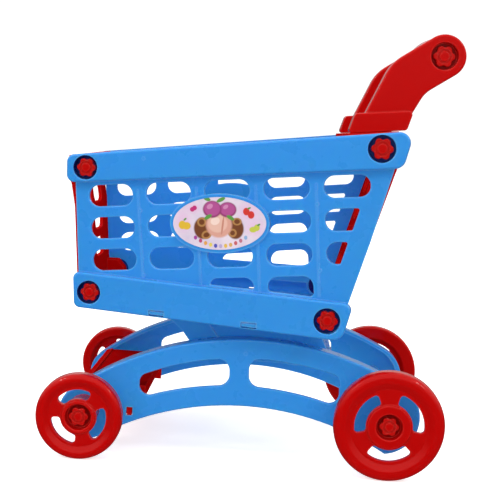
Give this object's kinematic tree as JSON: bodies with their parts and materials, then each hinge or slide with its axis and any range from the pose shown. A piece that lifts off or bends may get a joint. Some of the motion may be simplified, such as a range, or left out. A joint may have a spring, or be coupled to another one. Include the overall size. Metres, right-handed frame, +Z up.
{
  "type": "toy shopping cart",
  "caption": "Small moulded plastic play cart: slotted tapered basket on two arched chassis sides, free-rolling wheels and a raised push handle with a barrel grip.",
  "frame": {"origin": "centre of the footprint on the ground the wheels stand on", "axes": "+Z up, +X towards the push handle (the rear), +Y the right-hand side of someone pushing the cart towards -X"},
  "size_m": [0.3102, 0.2228, 0.3395],
  "materials": {
    "blue_plastic": "glossy moulded sky blue",
    "red_plastic": "glossy moulded red",
    "label_vinyl": null
  },
  "bodies": {
    "cart": {"left_side_panel": "blue_plastic", "right_side_panel": "blue_plastic", "front_panel": "red_plastic", "rear_panel": "red_plastic", "basket_floor": "blue_plastic", "upper_front_left_screw": "red_plastic", "upper_front_right_screw": "red_plastic", "upper_rear_left_screw": "red_plastic", "upper_rear_right_screw": "red_plastic", "lower_front_left_screw": "red_plastic", "lower_front_right_screw": "red_plastic", "lower_rear_left_screw": "red_plastic", "lower_rear_right_screw": "red_plastic", "left_label": "label_vinyl", "right_label": "label_vinyl", "left_arch_frame": "blue_plastic", "right_arch_frame": "blue_plastic", "chassis_deck": "blue_plastic", "front_cross_brace": "red_plastic", "front_left_wheel_screw": "red_plastic", "front_right_wheel_screw": "red_plastic", "rear_left_wheel_screw": "red_plastic", "rear_right_wheel_screw": "red_plastic", "left_handle_arm": "red_plastic", "right_handle_arm": "red_plastic", "handle_grip": "red_plastic", "left_handle_screw": "red_plastic", "right_handle_screw": "red_plastic"},
    "front_left_wheel_body": {"front_left_wheel": "red_plastic"},
    "front_right_wheel_body": {"front_right_wheel": "red_plastic"},
    "rear_left_wheel_body": {"rear_left_wheel": "red_plastic"},
    "rear_right_wheel_body": {"rear_right_wheel": "red_plastic"}
  },
  "joints": [
    {"name": "front_left_wheel_spin", "type": "hinge", "parent": "cart", "child": "front_left_wheel_body", "pos_m": [-0.1221, -0.091, 0.033], "axis": [0, 1, 0], "continuous": true},
    {"name": "front_right_wheel_spin", "type": "hinge", "parent": "cart", "child": "front_right_wheel_body", "pos_m": [-0.1221, 0.091, 0.033], "axis": [0, 1, 0], "continuous": true},
    {"name": "rear_left_wheel_spin", "type": "hinge", "parent": "cart", "child": "rear_left_wheel_body", "pos_m": [0.1129, -0.091, 0.0422], "axis": [0, 1, 0], "continuous": true},
    {"name": "rear_right_wheel_spin", "type": "hinge", "parent": "cart", "child": "rear_right_wheel_body", "pos_m": [0.1129, 0.091, 0.0422], "axis": [0, 1, 0], "continuous": true}
  ]
}
